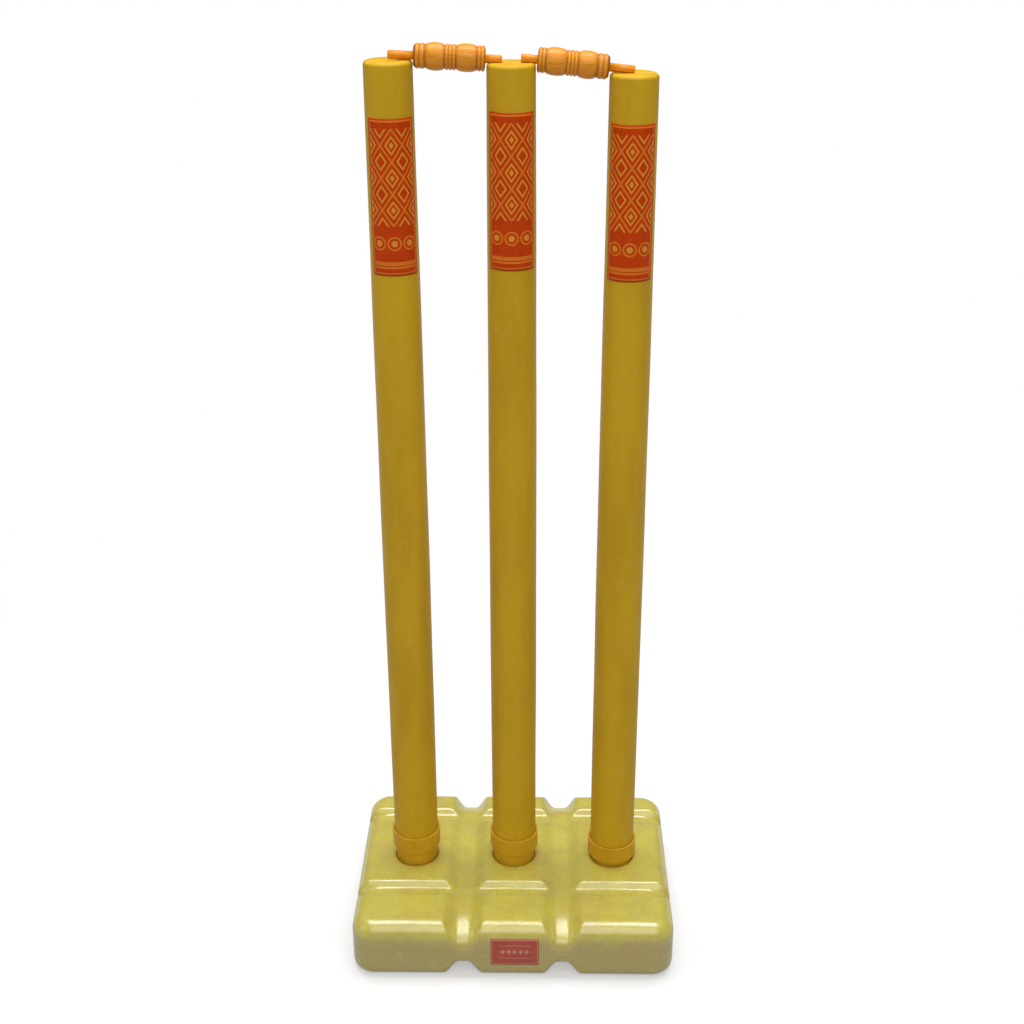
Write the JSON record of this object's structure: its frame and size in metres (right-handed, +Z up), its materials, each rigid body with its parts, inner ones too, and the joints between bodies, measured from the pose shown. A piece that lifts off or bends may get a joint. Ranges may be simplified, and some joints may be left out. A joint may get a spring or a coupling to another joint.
{
  "type": "cricket stumps",
  "caption": "Free-standing wicket: round hollow plastic stumps with turned wooden bails on top, set in a ballasted, blow-moulded block base with grooves and tapered wells.",
  "frame": {"origin": "middle of the base's underside, on the surface that it stands on", "axes": "+Z up along the stumps, +X to the right along the line of stumps, front with the label towards -Y"},
  "size_m": [0.283, 0.2024, 0.7793],
  "materials": {
    "base_plastic": "satin",
    "plug_plastic": "satin",
    "sand": "matte",
    "label_paper": "satin",
    "stump_plastic": "satin",
    "ferrule_plastic": "satin",
    "decal_paper": "satin",
    "bail_wood": "satin"
  },
  "bodies": {
    "base": {"base_shell": "base_plastic", "sand_ballast": "sand", "base_label": "label_paper"},
    "plug": {"filler_plug": "plug_plastic"},
    "left_stump": {"left_stump_tube": "stump_plastic", "left_stump_ferrule": "ferrule_plastic", "left_stump_decal": "decal_paper"},
    "middle_stump": {"middle_stump_tube": "stump_plastic", "middle_stump_ferrule": "ferrule_plastic", "middle_stump_decal": "decal_paper"},
    "right_stump": {"right_stump_tube": "stump_plastic", "right_stump_ferrule": "ferrule_plastic", "right_stump_decal": "decal_paper"},
    "bail_left": {"left_bail": "bail_wood"},
    "bail_right": {"right_bail": "bail_wood"}
  },
  "joints": [
    {"name": "middle_stump_lift", "type": "slide", "parent": "base", "child": "middle_stump", "axis": [0, 0, 1], "range_m": [0, 0.06]},
    {"name": "left_stump_lift", "type": "slide", "parent": "base", "child": "left_stump", "axis": [0, 0, 1], "range_m": [0, 0.06]},
    {"name": "right_stump_lift", "type": "slide", "parent": "base", "child": "right_stump", "axis": [0, 0, 1], "range_m": [0, 0.06]},
    {"name": "left_bail_lift", "type": "slide", "parent": "middle_stump", "child": "bail_left", "axis": [0, 0, 1], "range_m": [0, 0.05]},
    {"name": "right_bail_lift", "type": "slide", "parent": "middle_stump", "child": "bail_right", "axis": [0, 0, 1], "range_m": [0, 0.05]},
    {"name": "filler_plug_pull", "type": "slide", "parent": "base", "child": "plug", "axis": [0, 1, 0], "range_m": [0, 0.02]}
  ],
  "couplings": [
    {"joint": "left_stump_lift", "follows": "middle_stump_lift", "ratio": 1},
    {"joint": "right_stump_lift", "follows": "middle_stump_lift", "ratio": 1}
  ]
}
